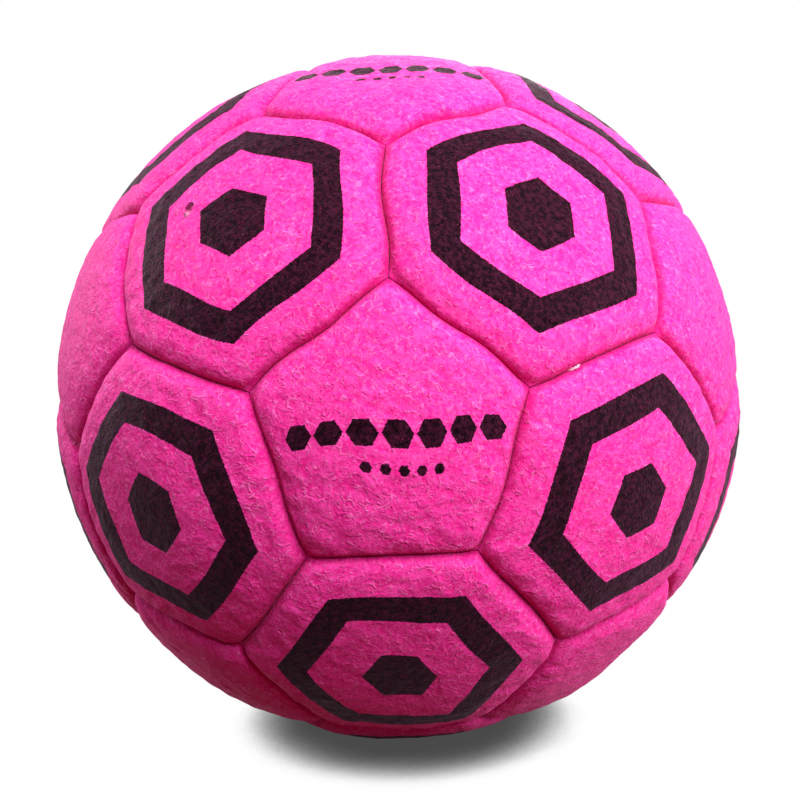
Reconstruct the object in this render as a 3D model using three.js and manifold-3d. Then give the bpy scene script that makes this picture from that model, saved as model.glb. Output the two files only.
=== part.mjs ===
// An indoor football of size class 3: 32 felt panels sewn round a cloth lining, a bladder and a valve.
// Millimetres, +Z up. The ball stands on a small flat at z = 0, its front pentagon faces -Y and its valve +Y.
import * as THREE from 'three';
import { mergeVertices } from 'three/addons/utils/BufferGeometryUtils.js';
import Module from 'manifold-3d';

// The whole ball
const BALL_CIRCUMFERENCE = 590;
const REST_FLAT_DEPTH = 0.5;

// Felt panels: a crowned face, a rounded shoulder down to the crease, and an edge turned in below it
const FELT_THICKNESS = 2.6;
const SHOULDER_WIDTH = 4.0;
const CREASE_DEPTH = 2.8;
const SEAM_ALLOWANCE = 3.2;
const SEAM_GAP = 0.3;

// Thread, which runs between the turned-in edges
const THREAD_WIDTH = 0.8;
const STITCH_LINE_DEPTH = 2.2; // below the crease

// Layers under the felt
const LAYER_GAP = 0.3;
const LINING_THICKNESS = 1.0;
const BLADDER_WALL = 1.2;

// Valve, round the axis of the back pentagon
const VALVE_RECESS = 0.8; // of the stem's end below the felt's face
const STEM_RADIUS = 3.4;
const FELT_HOLE_CLEARANCE = 0.5;
const CORE_SHAFT_RADIUS = 1.5;
const CORE_HEAD_RADIUS = 2.3;
const CORE_HEAD_THICKNESS = 1.0;
const CORE_LENGTH = 15;
const CORE_CLEARANCE = 0.3;
const NEEDLE_RADIUS = 0.5;
const NEEDLE_DEPTH = 9;
const TAIL_RADIUS = 2.9;
const TAIL_OVERHANG = 0.4; // of the housing past the core's inner end
const FLANGE_RADIUS = 11;
const FLANGE_THICKNESS = 1.2;
const PATCH_RADIUS = 14;
const PATCH_THICKNESS = 0.8;

// Fineness of the faceted surfaces
const FELT_STEPS = 3; // along one seam
const INNER_STEPS = 2;
const SHOULDER_STEPS = 3;
const ROUND_SIDES = 24;
const WELD_DISTANCE = 0.01;

// Colours
const FELT_PINK = '#e6289a';
const THREAD_PALE = '#f0c9d8';
const LINING_CLOTH = '#ded8cc';
const BLADDER_RUBBER = '#2b2a2c';
const VALVE_RUBBER = '#1b1b1d';
const PATCH_CLOTH = '#c9c2b2';

const BALL_RADIUS = BALL_CIRCUMFERENCE / (2 * Math.PI);
const CENTRE_HEIGHT = BALL_RADIUS - REST_FLAT_DEPTH;

// A truncated icosahedron with its corners on the unit sphere has edges of 1 / 2.478
const EDGE_RATIO = 4 / Math.sqrt(58 + 18 * Math.sqrt(5));
const EDGE_ANGLE = 2 * Math.asin(EDGE_RATIO / 2);
const HEXAGON = panelShape(6);
const PENTAGON = panelShape(5);
const RING_ANGLE = Math.atan(2); // between two neighbouring pentagon centres
const CORNER_SHARE = 1 / 3; // of the way from one pentagon centre to the next, where seams meet

// Section values of the seam, each a distance in from the seam plane and a depth below the ball's face
const CREASE = { inset: SEAM_GAP / 2, depth: CREASE_DEPTH };
const THREAD_DEPTH = CREASE_DEPTH + STITCH_LINE_DEPTH;
const EDGE_SPREAD = THREAD_WIDTH / 2 + LAYER_GAP - SEAM_GAP / 2;
const EDGE_TIP = {
  inset: SEAM_GAP / 2 + EDGE_SPREAD * SEAM_ALLOWANCE / STITCH_LINE_DEPTH,
  depth: CREASE_DEPTH + SEAM_ALLOWANCE,
};
const EDGE_ROOT = { inset: EDGE_TIP.inset + SHOULDER_WIDTH - CREASE.inset, depth: FELT_THICKNESS };
const FELT_SAG = BALL_RADIUS * (1 - Math.cos(EDGE_ANGLE / FELT_STEPS / 2));

// How far each layer lies under the felt
const LINING_FACE = LAYER_GAP + FELT_SAG;
const LINING_BACK = LINING_FACE + LINING_THICKNESS;
const BLADDER_FACE = LINING_BACK + LAYER_GAP;
const BLADDER_BACK = BLADDER_FACE + BLADDER_WALL;
const PATCH_FACE = LINING_BACK + LAYER_GAP;
const PATCH_BACK = PATCH_FACE + PATCH_THICKNESS;
const VALVE_BLADDER_FACE = PATCH_BACK + LAYER_GAP;
const VALVE_BLADDER_BACK = VALVE_BLADDER_FACE + BLADDER_WALL;

// A panel's corners and inward seam normals in its own frame: +Z out of the ball, first corner towards +X
function panelShape(sides) {
  const circumradius = EDGE_RATIO / (2 * Math.sin(Math.PI / sides));
  const reach = Math.asin(circumradius);
  const corners = [];
  for (let i = 0; i < sides; i += 1) {
    const turn = 2 * Math.PI * i / sides;
    corners.push(new THREE.Vector3(
      Math.sin(reach) * Math.cos(turn),
      Math.sin(reach) * Math.sin(turn),
      Math.cos(reach),
    ));
  }
  const normals = corners.map((corner, i) => corner.clone().cross(corners[(i + 1) % sides]).normalize());
  return { sides, corners, normals };
}

// The corner of a panel outline that lies at one inset from both of its seams
function cornerPoint(shape, i, inset, radius) {
  const before = shape.normals[(i + shape.sides - 1) % shape.sides];
  const after = shape.normals[i % shape.sides];
  const inward = before.clone().add(after).divideScalar(1 + before.dot(after));
  const along = Math.sqrt(radius ** 2 - inset ** 2 * inward.lengthSq());
  return inward.multiplyScalar(inset).addScaledVector(shape.corners[i % shape.sides], along);
}

// A closed outline round a panel at one inset and depth, with steps points along each seam
function outline(shape, { inset, depth }, steps) {
  const points = [];
  for (let i = 0; i < shape.sides; i += 1) {
    const offset = shape.normals[i].clone().multiplyScalar(inset);
    const from = cornerPoint(shape, i, inset, BALL_RADIUS - depth).sub(offset);
    const to = cornerPoint(shape, i + 1, inset, BALL_RADIUS - depth).sub(offset);
    const sweep = from.angleTo(to);
    for (let k = 0; k < steps; k += 1) {
      const turn = sweep * k / steps;
      const point = from.clone().multiplyScalar(Math.sin(sweep - turn) / Math.sin(sweep));
      point.addScaledVector(to, Math.sin(turn) / Math.sin(sweep)).add(offset);
      points.push(point);
    }
  }
  return points;
}

// The outline halfway from a given one to the panel's middle, at the same depth
function halfwayOutline(points, depth) {
  const middle = new THREE.Vector3(0, 0, 1);
  return points.map((point) => (
    point.clone().normalize().add(middle).normalize().multiplyScalar(BALL_RADIUS - depth)
  ));
}

function middlePoint(depth) {
  return new THREE.Vector3(0, 0, BALL_RADIUS - depth);
}

// Triangles from a middle point out to an outline, seen from outside
function fan(middle, points) {
  return points.map((point, i) => [middle, point, points[(i + 1) % points.length]]);
}

// Triangles from one outline to the next one further from the middle
function band(near, far) {
  return near.flatMap((point, i) => {
    const next = (i + 1) % near.length;
    return [[point, far[i], far[next]], [point, far[next], near[next]]];
  });
}

function flipped(triangles) {
  return triangles.map(([a, b, c]) => [a, c, b]);
}

function moved(triangles, matrix) {
  return triangles.map((triangle) => triangle.map((point) => point.clone().applyMatrix4(matrix)));
}

// One indexed geometry from loose triangles, with corners that lie together made one
function welded(triangles) {
  const kept = [];
  const index = triangles.flat().map((point) => {
    const found = kept.findIndex((other) => other.distanceToSquared(point) < WELD_DISTANCE ** 2);
    return found < 0 ? kept.push(point) - 1 : found;
  });
  const geometry = new THREE.BufferGeometry();
  geometry.setAttribute('position', new THREE.Float32BufferAttribute(kept.flatMap((p) => p.toArray()), 3));
  geometry.setIndex(index);
  return geometry;
}

// Solids to cut with
const manifold = await Module();
manifold.setup();

function toSolid(geometry) {
  const bare = geometry.clone();
  bare.deleteAttribute('normal');
  bare.deleteAttribute('uv');
  const merged = mergeVertices(bare);
  return new manifold.Manifold(new manifold.Mesh({
    numProp: 3,
    vertProperties: new Float32Array(merged.attributes.position.array),
    triVerts: new Uint32Array(merged.index.array),
  }));
}

function toGeometry(solid) {
  const mesh = solid.getMesh();
  const geometry = new THREE.BufferGeometry();
  geometry.setAttribute('position', new THREE.Float32BufferAttribute(mesh.vertProperties, 3));
  geometry.setIndex(Array.from(mesh.triVerts));
  return geometry;
}

function cut(geometry, cutter) {
  return toGeometry(toSolid(geometry).subtract(toSolid(cutter)));
}

// A round bar along Z, from the ball's middle to outside it
function valveBar(radius) {
  const bar = new THREE.CylinderGeometry(radius, radius, 2 * BALL_RADIUS, ROUND_SIDES);
  return bar.rotateX(Math.PI / 2).translate(0, 0, BALL_RADIUS);
}

// Felt panel: rings from the middle of its face, over the shoulder, round the turned-in edge and back
function feltPanel(shape) {
  const shoulder = [];
  for (let i = SHOULDER_STEPS; i >= 0; i -= 1) {
    const turn = Math.PI / 2 * i / SHOULDER_STEPS;
    shoulder.push(outline(shape, {
      inset: CREASE.inset + SHOULDER_WIDTH * (1 - Math.cos(turn)),
      depth: CREASE.depth * (1 - Math.sin(turn)),
    }, FELT_STEPS));
  }
  const root = outline(shape, EDGE_ROOT, FELT_STEPS);
  const rings = [
    halfwayOutline(shoulder[0], 0),
    ...shoulder,
    outline(shape, EDGE_TIP, FELT_STEPS),
    root,
    halfwayOutline(root, FELT_THICKNESS),
  ];
  const sides = rings.slice(1).flatMap((ring, i) => band(rings[i], ring));
  return welded([
    ...fan(middlePoint(0), rings[0]),
    ...sides,
    ...flipped(fan(middlePoint(FELT_THICKNESS), rings.at(-1))),
  ]);
}

// Where a layer that runs under the felt at one distance bends up from its seam ridge
function layerBend(under) {
  const run = new THREE.Vector2(EDGE_ROOT.inset - EDGE_TIP.inset, EDGE_ROOT.depth - EDGE_TIP.depth).normalize();
  return {
    inset: EDGE_ROOT.inset + under * (1 + run.y) / run.x,
    depth: EDGE_ROOT.depth + under,
  };
}

// Depth of the same layer in the seam plane, at the foot of its ridge
function layerRidge(under) {
  const bend = layerBend(under);
  const slope = (EDGE_TIP.depth - EDGE_ROOT.depth) / (EDGE_ROOT.inset - EDGE_TIP.inset);
  return { inset: 0, depth: bend.depth + bend.inset * slope };
}

// One panel's share of a layer surface. cap is its distance under the felt inside the ridge
function layerPatch(shape, under, cap) {
  const bend = layerBend(cap);
  const bent = outline(shape, bend, INNER_STEPS);
  return [
    ...fan(middlePoint(bend.depth), bent),
    ...band(bent, outline(shape, layerRidge(under), INNER_STEPS)),
  ];
}

// A closed surface made of every panel's share
function layerSurface(under, valveCap) {
  return panels.flatMap((panel) => (
    moved(layerPatch(panel.shape, under, panel.valve ? valveCap : under), panel.matrix)
  ));
}

// A hollow layer all round, with a round hole where the valve's stem comes out
function hollowLayer(face, back, valveFace, valveBack, valvePanel) {
  const shell = welded([...layerSurface(face, valveFace), ...flipped(layerSurface(back, valveBack))]);
  return cut(shell, valveBar(STEM_RADIUS + LAYER_GAP).applyMatrix4(valvePanel.matrix));
}

// The thread along every seam, as one net of a lozenge section
function threadNet() {
  const crest = { inset: 0, depth: THREAD_DEPTH - THREAD_WIDTH / 2 };
  const flank = { inset: THREAD_WIDTH / 2, depth: THREAD_DEPTH };
  const keel = { inset: 0, depth: THREAD_DEPTH + THREAD_WIDTH / 2 };
  return welded(panels.flatMap((panel) => {
    const [top, side, bottom] = [crest, flank, keel].map((at) => outline(panel.shape, at, FELT_STEPS));
    return moved([...band(side, top), ...flipped(band(side, bottom))], panel.matrix);
  }));
}

// Round reinforcing patch that lies against the lining's own facets
function valvePatch() {
  const face = outline(PENTAGON, layerBend(PATCH_FACE), INNER_STEPS);
  const back = outline(PENTAGON, layerBend(PATCH_BACK), INNER_STEPS);
  const slab = welded([
    ...fan(middlePoint(FELT_THICKNESS + PATCH_FACE), face),
    ...band(face, back),
    ...flipped(fan(middlePoint(FELT_THICKNESS + PATCH_BACK), back)),
  ]);
  const disc = toSolid(slab).intersect(toSolid(valveBar(PATCH_RADIUS)));
  return toGeometry(disc.subtract(toSolid(valveBar(STEM_RADIUS + LAYER_GAP))));
}

// A turned solid about Z from [radius, height] points
function turned(profile) {
  const points = profile.map(([radius, height]) => new THREE.Vector2(radius, height));
  return new THREE.LatheGeometry(points, ROUND_SIDES).rotateX(Math.PI / 2);
}

const STEM_TOP = BALL_RADIUS - VALVE_RECESS;
const HEAD_SEAT = STEM_TOP - CORE_HEAD_THICKNESS - CORE_CLEARANCE;
const BLADDER_INSIDE = BALL_RADIUS - FELT_THICKNESS - VALVE_BLADDER_BACK;

// Fall of the bladder's inner facets from the valve axis, per millimetre out
function bladderSlope() {
  const corner = outline(PENTAGON, layerBend(VALVE_BLADDER_BACK), INNER_STEPS)[0];
  return (BLADDER_INSIDE - corner.z) / Math.hypot(corner.x, corner.y);
}

// Valve housing: a stem through the layers, with a coned flange under the bladder's wall and a tail inside
function valveHousing() {
  const bore = CORE_SHAFT_RADIUS + CORE_CLEARANCE;
  const counterbore = CORE_HEAD_RADIUS + CORE_CLEARANCE;
  const flangeTop = (radius) => BLADDER_INSIDE - LAYER_GAP - bladderSlope() * radius;
  const tailEnd = STEM_TOP - CORE_LENGTH - TAIL_OVERHANG;
  return turned([
    [bore, tailEnd],
    [TAIL_RADIUS, tailEnd],
    [TAIL_RADIUS, flangeTop(TAIL_RADIUS) - FLANGE_THICKNESS],
    [FLANGE_RADIUS, flangeTop(FLANGE_RADIUS) - FLANGE_THICKNESS],
    [FLANGE_RADIUS, flangeTop(FLANGE_RADIUS)],
    [STEM_RADIUS, flangeTop(STEM_RADIUS)],
    [STEM_RADIUS, STEM_TOP],
    [counterbore, STEM_TOP],
    [counterbore, HEAD_SEAT],
    [bore, HEAD_SEAT],
    [bore, tailEnd],
  ]);
}

// Valve core: a headed plug with a blind needle hole
function valveCore() {
  const headUnder = STEM_TOP - CORE_HEAD_THICKNESS;
  return turned([
    [0, STEM_TOP - CORE_LENGTH],
    [CORE_SHAFT_RADIUS, STEM_TOP - CORE_LENGTH],
    [CORE_SHAFT_RADIUS, headUnder],
    [CORE_HEAD_RADIUS, headUnder],
    [CORE_HEAD_RADIUS, STEM_TOP],
    [NEEDLE_RADIUS, STEM_TOP],
    [NEEDLE_RADIUS, STEM_TOP - NEEDLE_DEPTH],
    [0, STEM_TOP - NEEDLE_DEPTH],
  ]);
}

// A direction at one angle from the front axis, and at one turn clockwise from the top as seen from the front
function direction(fromFront, turn) {
  return new THREE.Vector3(
    Math.sin(fromFront) * Math.sin(turn),
    -Math.cos(fromFront),
    Math.sin(fromFront) * Math.cos(turn),
  );
}

// Five directions evenly round the front axis
function fiveAround(fromFront, firstTurn) {
  return [0, 1, 2, 3, 4].map((i) => direction(fromFront, firstTurn + 2 * Math.PI * i / 5));
}

// Turns a panel's own frame so that +Z is its centre and +X leans towards its first corner
function panelMatrix(centre, firstCorner) {
  const out = centre.clone().normalize();
  const towards = firstCorner.clone().addScaledVector(out, -firstCorner.dot(out)).normalize();
  return new THREE.Matrix4().makeBasis(towards, out.clone().cross(towards), out);
}

// Every panel with its name, shape and place, worked out from the twelve pentagon centres
function layOutPanels() {
  const front = direction(0, 0);
  const back = direction(Math.PI, 0);
  const near = fiveAround(RING_ANGLE, 0);
  const far = fiveAround(Math.PI - RING_ANGLE, Math.PI / 5);
  const found = [];
  const pentagon = (name, centre, neighbour) => {
    found.push({ name, shape: PENTAGON, matrix: panelMatrix(centre, neighbour), valve: centre === back });
  };
  const hexagon = (name, a, b, c) => {
    const centre = a.clone().add(b).add(c);
    const corner = a.clone().lerp(b, CORNER_SHARE);
    found.push({ name, shape: HEXAGON, matrix: panelMatrix(centre, corner), valve: false });
  };
  pentagon('felt_pentagon_front', front, near[0]);
  pentagon('felt_pentagon_valve', back, far[0]);
  for (let i = 0; i < 5; i += 1) {
    const next = (i + 1) % 5;
    pentagon(`felt_pentagon_near_${i + 1}`, near[i], front);
    pentagon(`felt_pentagon_far_${i + 1}`, far[i], back);
    hexagon(`felt_hexagon_front_${i + 1}`, front, near[i], near[next]);
    hexagon(`felt_hexagon_near_${i + 1}`, near[i], near[next], far[i]);
    hexagon(`felt_hexagon_far_${i + 1}`, far[i], far[next], near[next]);
    hexagon(`felt_hexagon_back_${i + 1}`, back, far[i], far[next]);
  }
  return found;
}

const panels = layOutPanels();
const valvePanel = panels.find((panel) => panel.valve);

function mesh(name, geometry, color, roughness) {
  geometry.computeVertexNormals();
  const made = new THREE.Mesh(geometry, new THREE.MeshStandardMaterial({ color, roughness, metalness: 0 }));
  made.name = name;
  return made;
}

// A slab below the floor, in the ball's own frame, that flattens what would reach under it
function floorSlab() {
  const size = 2 * BALL_RADIUS;
  return new THREE.BoxGeometry(size, size, size).translate(0, 0, -CENTRE_HEIGHT - BALL_RADIUS);
}

// The felt of one panel, with the valve hole or the resting flat where it has one
function fittedFelt(panel, plain) {
  if (panel.valve) {
    return cut(plain, valveBar(STEM_RADIUS + FELT_HOLE_CLEARANCE));
  }
  const placed = plain.clone().applyMatrix4(panel.matrix);
  placed.computeBoundingBox();
  if (placed.boundingBox.min.z > -CENTRE_HEIGHT) {
    return plain.clone();
  }
  return cut(plain, floorSlab().applyMatrix4(panel.matrix.clone().invert()));
}

// The felt cover
function cover() {
  const group = new THREE.Group();
  const plain = new Map([[PENTAGON, feltPanel(PENTAGON)], [HEXAGON, feltPanel(HEXAGON)]]);
  for (const panel of panels) {
    const felt = mesh(panel.name, fittedFelt(panel, plain.get(panel.shape)), FELT_PINK, 0.95);
    felt.quaternion.setFromRotationMatrix(panel.matrix);
    group.add(felt);
  }
  return group;
}

// The pieces round the valve axis
function valve() {
  const group = new THREE.Group();
  group.quaternion.setFromRotationMatrix(valvePanel.matrix);
  group.add(mesh('valve_patch', valvePatch(), PATCH_CLOTH, 0.9));
  group.add(mesh('valve_housing', valveHousing(), VALVE_RUBBER, 0.6));
  group.add(mesh('valve_core', valveCore(), VALVE_RUBBER, 0.55));
  return group;
}

const lining = hollowLayer(LINING_FACE, LINING_BACK, LINING_FACE, LINING_BACK, valvePanel);
const bladder = hollowLayer(
  BLADDER_FACE,
  BLADDER_BACK,
  VALVE_BLADDER_FACE,
  VALVE_BLADDER_BACK,
  valvePanel,
);

const ball = new THREE.Group();
ball.position.z = CENTRE_HEIGHT;
ball.add(cover());
ball.add(mesh('seam_thread', threadNet(), THREAD_PALE, 0.7));
ball.add(mesh('lining', lining, LINING_CLOTH, 0.9));
ball.add(mesh('bladder', bladder, BLADDER_RUBBER, 0.5));
ball.add(valve());

const part = new THREE.Group();
part.add(ball);

export default part;
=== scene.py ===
"""Looks of the felt indoor ball: puffed felt panels, stitches, the valve, materials, lights and camera."""
import math

import bpy
import numpy as np
from mathutils import Matrix, Vector


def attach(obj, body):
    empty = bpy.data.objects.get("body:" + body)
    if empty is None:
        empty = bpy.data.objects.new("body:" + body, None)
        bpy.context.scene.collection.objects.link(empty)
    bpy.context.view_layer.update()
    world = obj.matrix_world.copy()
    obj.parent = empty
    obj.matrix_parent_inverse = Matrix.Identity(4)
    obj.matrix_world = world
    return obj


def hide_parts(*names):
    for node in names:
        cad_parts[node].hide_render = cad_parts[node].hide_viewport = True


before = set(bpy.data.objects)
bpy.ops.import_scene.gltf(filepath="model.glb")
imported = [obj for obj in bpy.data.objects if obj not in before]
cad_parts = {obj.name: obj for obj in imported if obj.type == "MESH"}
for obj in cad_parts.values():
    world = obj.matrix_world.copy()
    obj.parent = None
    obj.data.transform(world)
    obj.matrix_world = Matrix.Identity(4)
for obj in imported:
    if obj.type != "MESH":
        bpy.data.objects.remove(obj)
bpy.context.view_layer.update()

MM = 0.001
OUTWARD = np.array([0.0, 0.0, 1.0])

# The ball, in millimetres, as in the CAD model
BALL_CIRCUMFERENCE = 590
REST_FLAT_DEPTH = 0.5
FELT_THICKNESS = 2.6
SHOULDER_WIDTH = 4.0
CREASE_DEPTH = 2.8
SEAM_ALLOWANCE = 3.2
SEAM_GAP = 0.3
THREAD_WIDTH = 0.8
STITCH_LINE_DEPTH = 2.2
FELT_STEPS = 3
LAYER_GAP = 0.3
LINING_THICKNESS = 1.0
BLADDER_WALL = 1.2
VALVE_RECESS = 0.8
STEM_RADIUS = 3.4
FELT_HOLE_CLEARANCE = 0.5
CORE_SHAFT_RADIUS = 1.5
CORE_HEAD_RADIUS = 2.3
CORE_HEAD_THICKNESS = 1.0
CORE_LENGTH = 15
CORE_CLEARANCE = 0.3
NEEDLE_RADIUS = 0.5
NEEDLE_DEPTH = 9
TAIL_RADIUS = 2.9
TAIL_OVERHANG = 0.4
FLANGE_RADIUS = 11
FLANGE_THICKNESS = 1.2
PATCH_RADIUS = 14
PATCH_THICKNESS = 0.8

BALL_RADIUS = BALL_CIRCUMFERENCE / (2 * math.pi)
BALL_CENTRE = np.array([0, 0, BALL_RADIUS - REST_FLAT_DEPTH])
EDGE_RATIO = 4 / math.sqrt(58 + 18 * math.sqrt(5))
RING_ANGLE = math.atan(2)
STEM_TOP = BALL_RADIUS - VALVE_RECESS
STEM_HOLE = STEM_RADIUS + LAYER_GAP

# How far each layer lies below the felt's back, in millimetres, as in the CAD model
FELT_SAG = BALL_RADIUS * (1 - math.cos(math.asin(EDGE_RATIO / 2) / FELT_STEPS))
LINING_FACE = LAYER_GAP + FELT_SAG
LINING_BACK = LINING_FACE + LINING_THICKNESS
BLADDER_FACE = LINING_BACK + LAYER_GAP
BLADDER_BACK = BLADDER_FACE + BLADDER_WALL
PATCH_FACE = LINING_BACK + LAYER_GAP
PATCH_BACK = PATCH_FACE + PATCH_THICKNESS
VALVE_BLADDER_FACE = PATCH_BACK + LAYER_GAP
VALVE_BLADDER_BACK = VALVE_BLADDER_FACE + BLADDER_WALL

# Panels: how many of a kind lie round the ball, and those that differ from their kind
PANELS_ROUND = 5
VALVE_PANEL = "pentagon_valve"
TOP_PANEL = "pentagon_near_1"
ROWED_PANELS = ("pentagon_front", TOP_PANEL)

# Puffed face of a panel, in millimetres: three dips towards its seams by depth and width, and the rest
PUFF = (0.8, 14.0)
ROLL = (1.2, 4.8)
NOTCH = (0.9, 1.6)
SEAM_SLIT = 0.07
CREASE_DROP = 0.3
CORNER_SOFTNESS = 1.3
SEAM_WANDER = 0.45
SEAM_WANDER_WAVE = 26.0
PUCKER_HEIGHT = 0.10
PUCKER_WAVE = 5.5
PUCKER_REACH = 6.0
SWELL_HEIGHT = 0.22
SWELL_WAVE = 34.0
LUMP_LAYERS = ((0.06, 6.0), (0.035, 3.0))
RELIEF_FADE = 2.0
FACE_ROWS = 56
EDGE_CROWDING = 0.45
HOLE_ROWS = 44
HOLE_DROP = 0.45
HOLE_ROLL = 0.9
VALVE_STILL = (5.0, 16.0)
FOOT_SOFTNESS = 0.12

# Random fields: waves in each, spread of their lengths, seeds, and spread of the panels' cuts in millimetres
SMOOTH_WAVES = 20
LUMPY_WAVES = 28
WAVE_STRETCH = (0.75, 1.3)
WANDER_SEEDS = (11, 12, 13)
FACE_SEED = 40
LUMP_SEED_STEP = 100
PUCKER_SEED_STEP = 300
CUT_SEED = 900
CUT_SPREAD = 500

# Inner layers and turned pieces, in millimetres
LAYER_ROWS = 14
LAYER_CREASE = 0.5
BEND_SOFTNESS = 0.6
TURNED_SIDES = 72
CORNER_STEPS = 4
PATCH_STEPS = 12
PATCH_EDGE_SOFTNESS = 0.25
FLANGE_STEPS = 10
GROOVE_STEPS = 28
GROOVE_HEIGHT = 0.10
GROOVE_PITCH = 1.5
FLANGE_RIM = 0.7
TAIL_FILLET = 1.2
STEM_FILLET = 1.0
RIB_SHARES = (0.25, 0.5, 0.75)
RIB_HEIGHT = 0.16
RIB_HALF_WIDTH = 0.55
FUNNEL_RADIUS = 1.15
FUNNEL_DEPTH = 0.75
WELD_DISTANCE = 0.01

# Stitches, in millimetres, and the shares of a seam where its thread starts and ends
STITCH_PITCH = 5.0
STITCH_WAVE = 0.35
PLY_RADIUS = 0.22
PLY_PITCH = 1.7
PLY_SIDES = 5
THREAD_STEP = 0.8
THREAD_ENDS = (0.02, 0.98)

# The stitch that shows in its seam, as in the photograph: its direction from the centre, and millimetres
LOOSE_STITCH_HEADING = (0.434, -0.889, 0.146)
LOOSE_STITCH_RISE = 3.1
LOOSE_STITCH_REACH = 2.6

# Print, in millimetres: a ring and a middle patch on each hexagon, and rows of marks on two pentagons
RING_INSET = 9.2
RING_BAND = 6.8
PATCH_INSET = 26.0
LARGE_MARKS = {"middle": (1.2, 0.9), "pitch": 6.8, "count": 7, "apothem": 2.75}
SMALL_MARKS = {"middle": (1.9, -6.0), "pitch": 3.7, "count": 5, "apothem": 1.05}

# Colours
WHITE = (1, 1, 1, 1)
FELT_DEEP = (0.86, 0.017, 0.285, 1)
FELT_PLAIN = (0.96, 0.063, 0.41, 1)
FELT_FIBRE = (1.0, 0.23, 0.60, 1)
FELT_PIT = (0.56, 0.0, 0.13, 1)
# Painted shade: the dark colour laid on the felt along each seam, where the crease would shade it
FELT_SEAM_SHADE = (0.54, 0.004, 0.16, 1)
FELT_SPECK = (0.95, 0.60, 0.80, 1)
INK_DEEP = (0.004, 0.0005, 0.002, 1)
INK_PALE = (0.045, 0.005, 0.020, 1)
THREAD_TONES = ((0.72, 0.34, 0.48, 1), (0.92, 0.60, 0.72, 1))
THREAD_PINK = (0.80, 0.18, 0.45, 1)
BACKING_TONES = ((0.42, 0.39, 0.33, 1), (0.82, 0.79, 0.72, 1))
PATCH_TONES = ((0.30, 0.26, 0.20, 1), (0.68, 0.62, 0.52, 1))
BLADDER_TONES = ((0.022, 0.022, 0.024, 1), (0.040, 0.040, 0.044, 1))
HOUSING_TONES = ((0.010, 0.010, 0.011, 1), (0.020, 0.020, 0.022, 1))
CORE_TONES = ((0.016, 0.016, 0.017, 1), (0.028, 0.028, 0.030, 1))
TALC = (0.32, 0.31, 0.30, 1)

# Noises of the felt and its ink: size of the blobs in millimetres, detail and roughness
BLOTCHES = (3.4, 4.0, 0.62)
NAP = (1.1, 3.0, 0.62)
GRAIN = (0.30, 1.0, 0.60)
PITS = (0.60, 1.0, 0.5)
SPECKS = (0.34, 0.0, 0.5)
INK_FRAY = (0.45, 2.0, 0.5)
MISSED_INK = (0.30, 1.0, 0.5)

# Fibres of the felt: cell and width in millimetres, and the shift that sets them apart
LONG_FIBRES = (2.2, 0.24, 17.0)
SHORT_FIBRES = (1.2, 0.16, 53.0)
STRANDS = (3.6, 0.60, 91.0)
SHORT_FIBRE_STRENGTH = 0.7
BEND_REACH = 1.6
CELL_BENDS = 0.9
FIBRE_RUN = 0.8
FIBRE_RUN_RANGE = (0.50, 0.66)

# The range that most of a noise lies in
NOISE_SPAN = (0.3, 0.7)

# Felt: strength and colour of its marks, the painted shade along its seams, relief in millimetres, and finish
BLOTCH_SHARE = 0.40
TONE_RANGE = (0.36, 0.62)
PIT_RANGE = (0.38, 0.26)
SPECK_RANGE = (0.83, 0.88)
FELT_MARKS = {"fibres": (0.55, FELT_FIBRE), "pits": (0.55, FELT_PIT), "specks": (0.8, FELT_SPECK)}
# Painted shade along the seams: its strength, the distance in millimetres over which it fades, and how ragged
# the nap makes it
SEAM_SHADE_STRENGTH = 0.8
SEAM_SHADE_RANGE = (0.6, 2.6)
SEAM_SHADE_RAGGEDNESS = 1.2
FELT_HEIGHTS = {"blotches": 0.30, "nap": 0.21, "grain": 0.03, "strands": 0.11, "fibres": 0.10, "pits": -0.08}
FELT_ROUGHNESS = (0.62, 0.50)
FELT_FINISH = {
    "Specular IOR Level": 0.02,
    "Sheen Weight": 0.08,
    "Sheen Roughness": 0.5,
    "Sheen Tint": (1.0, 0.55, 0.85, 1),
}

# Ink: how far its edge frays and fades in millimetres, and where the nap keeps some of it off
INK_FRAY_REACH = 0.6
INK_EDGE = (-0.06, 0.10)
INK_TONE_RANGE = (0.35, 0.7)
MISSED_RANGE = (0.68, 0.80)
MISSED_STRENGTH = 0.32

# The torn spot, as in the photograph, in millimetres: its fray, then the middle, reach, colour, strength of
# colour and height of its pit and its tuft
TORN_FRAY = (0.6, 1.0)
TORN_FRAY_REACH = 1.4
TORN_PIT = ((-44.0, -66.3, 143.3), (1.5, 0.6), (0.10, 0.0, 0.02, 1), 0.9, -0.8)
TORN_TUFT = ((-44.5, -66.9, 141.8), (1.0, 0.4), (0.62, 0.30, 0.42, 1), 0.8, 0.5)

# Thread: noises as above, and its surface
THREAD_GRAIN = (0.25, 3.0)
STAINS = (4.0, 2.0)
STAIN_RANGE = (0.45, 0.75)
STAIN_STRENGTH = 0.5
THREAD_ROUGHNESS = (0.62, 0.48)
THREAD_RELIEF = 0.06

# Cloth: noises as above, pitch and heights in millimetres, and its surface
BACKING_PITCH = 0.9
PATCH_PITCH = 0.6
WEAVE_DRIFT = (9.0, 2.0)
WEAVE_DRIFT_REACH = 1.2
WEAVE_RELIEF = 0.22
SLUBS = (3.5, 3.0)
FUZZ = (0.3, 2.0)
FUZZ_RELIEF = 0.06
WEAVE_TONE = 0.6
SLUB_TONE = 0.5
FUZZ_TONE = 0.3
CLOTH_TONE_RANGE = (0.25, 0.95)
CLOTH_ROUGHNESS = 0.92
CLOTH_SHEEN = 0.15

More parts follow.
